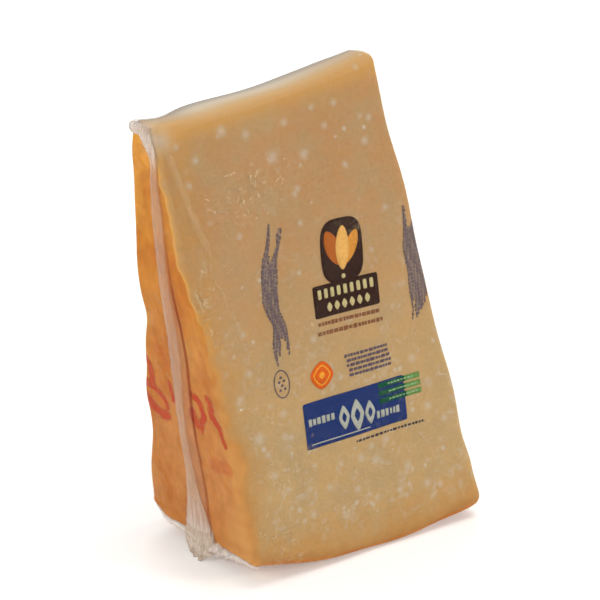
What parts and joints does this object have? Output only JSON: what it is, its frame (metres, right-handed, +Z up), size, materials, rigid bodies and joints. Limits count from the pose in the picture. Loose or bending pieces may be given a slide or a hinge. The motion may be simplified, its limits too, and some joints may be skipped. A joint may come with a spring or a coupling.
{
  "type": "vacuum packed parmesan chunk",
  "caption": "Wedge of hard grating cheese with its rind, sealed in clear film and standing on its rounded rind heel.",
  "frame": {"origin": "bottom centre of the bounding box, on the surface the chunk stands on", "axes": "+Z up, +X from the flat rind face toward the cut at half the wheel's height, +Y across the sector, away from the printed cut face"},
  "size_m": [0.1346, 0.0736, 0.1909],
  "materials": {
    "film_over_cheese": "clear clinging film over pale straw-gold cheese and an orange-brown rind"
  },
  "bodies": {
    "root": {"packed_chunk": "film_over_cheese"}
  },
  "joints": []
}
